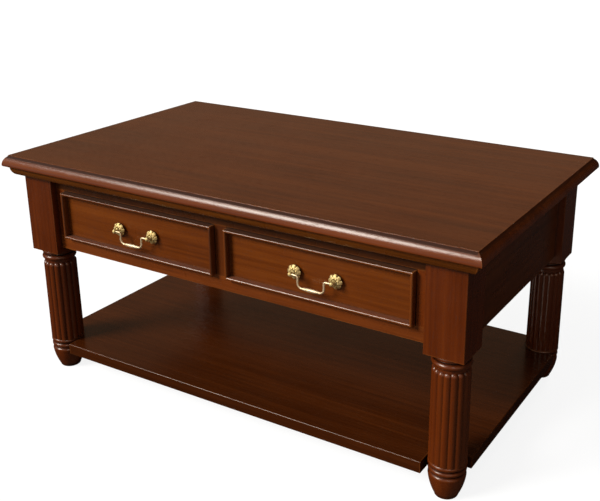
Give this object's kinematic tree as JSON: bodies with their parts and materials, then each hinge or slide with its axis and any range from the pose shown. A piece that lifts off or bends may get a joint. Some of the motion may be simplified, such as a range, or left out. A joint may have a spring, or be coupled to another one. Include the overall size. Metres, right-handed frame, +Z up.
{
  "type": "coffee table",
  "caption": "Rectangular mahogany coffee table with a moulded top, reeded turned legs, drawers with hanging brass bail pulls and a low open shelf.",
  "frame": {"origin": "on the floor under the middle of the table", "axes": "+X along the long front towards the right-hand end seen from the front, the drawers face -Y, +Z up"},
  "size_m": [1.1, 0.645, 0.506],
  "materials": {
    "mahogany": "satin lacquer",
    "mahogany_front": "satin lacquer",
    "mahogany_top": "semi-gloss lacquer",
    "mahogany_shelf": "satin lacquer",
    "frame_wood": "plain planed",
    "drawer_wood": "plain sanded",
    "brass": "polished, slightly aged",
    "screw_steel": "plain"
  },
  "bodies": {
    "table": {"top_board": "mahogany_top", "bed_moulding_front": "mahogany_top", "bed_moulding_back": "mahogany_top", "bed_moulding_left": "mahogany_top", "bed_moulding_right": "mahogany_top", "leg_front_left": "mahogany", "leg_front_right": "mahogany", "leg_back_left": "mahogany", "leg_back_right": "mahogany", "apron_left": "mahogany", "apron_right": "mahogany", "apron_back": "mahogany", "front_top_rail": "mahogany", "front_bottom_rail": "mahogany", "front_stile_left": "mahogany", "front_stile_right": "mahogany", "centre_stile": "mahogany", "runner_left": "frame_wood", "runner_centre": "frame_wood", "runner_right": "frame_wood", "kicker_left": "frame_wood", "kicker_centre": "frame_wood", "kicker_right": "frame_wood", "glue_block_left": "frame_wood", "glue_block_right": "frame_wood", "glue_block_back_left": "frame_wood", "glue_block_back_right": "frame_wood", "top_screws": "screw_steel", "drawer_stops": "frame_wood", "shelf_board": "mahogany_shelf", "shelf_dowels": "frame_wood"},
    "left_drawer": {"left_drawer_front": "mahogany_front", "left_drawer_bead_top": "mahogany_front", "left_drawer_bead_bottom": "mahogany_front", "left_drawer_bead_left": "mahogany_front", "left_drawer_bead_right": "mahogany_front", "left_drawer_side_left": "drawer_wood", "left_drawer_side_right": "drawer_wood", "left_drawer_back": "drawer_wood", "left_drawer_bottom": "drawer_wood", "left_drawer_rosette_left": "brass", "left_drawer_rosette_right": "brass", "left_drawer_pull_posts": "brass", "left_drawer_pull_nuts": "brass"},
    "left_bail": {"left_drawer_bail": "brass"},
    "right_drawer": {"right_drawer_front": "mahogany_front", "right_drawer_bead_top": "mahogany_front", "right_drawer_bead_bottom": "mahogany_front", "right_drawer_bead_left": "mahogany_front", "right_drawer_bead_right": "mahogany_front", "right_drawer_side_left": "drawer_wood", "right_drawer_side_right": "drawer_wood", "right_drawer_back": "drawer_wood", "right_drawer_bottom": "drawer_wood", "right_drawer_rosette_left": "brass", "right_drawer_rosette_right": "brass", "right_drawer_pull_posts": "brass", "right_drawer_pull_nuts": "brass"},
    "right_bail": {"right_drawer_bail": "brass"}
  },
  "joints": [
    {"name": "left_drawer_slide", "type": "slide", "parent": "table", "child": "left_drawer", "axis": [0, -1, 0], "range_m": [0, 0.3]},
    {"name": "left_bail_hinge", "type": "hinge", "parent": "left_drawer", "child": "left_bail", "pos_m": [-0.21575, -0.296, 0.3808], "axis": [-1, 0, 0], "range_deg": [-40, 220]},
    {"name": "right_drawer_slide", "type": "slide", "parent": "table", "child": "right_drawer", "axis": [0, -1, 0], "range_m": [0, 0.3]},
    {"name": "right_bail_hinge", "type": "hinge", "parent": "right_drawer", "child": "right_bail", "pos_m": [0.21575, -0.296, 0.3808], "axis": [-1, 0, 0], "range_deg": [-40, 220]}
  ]
}
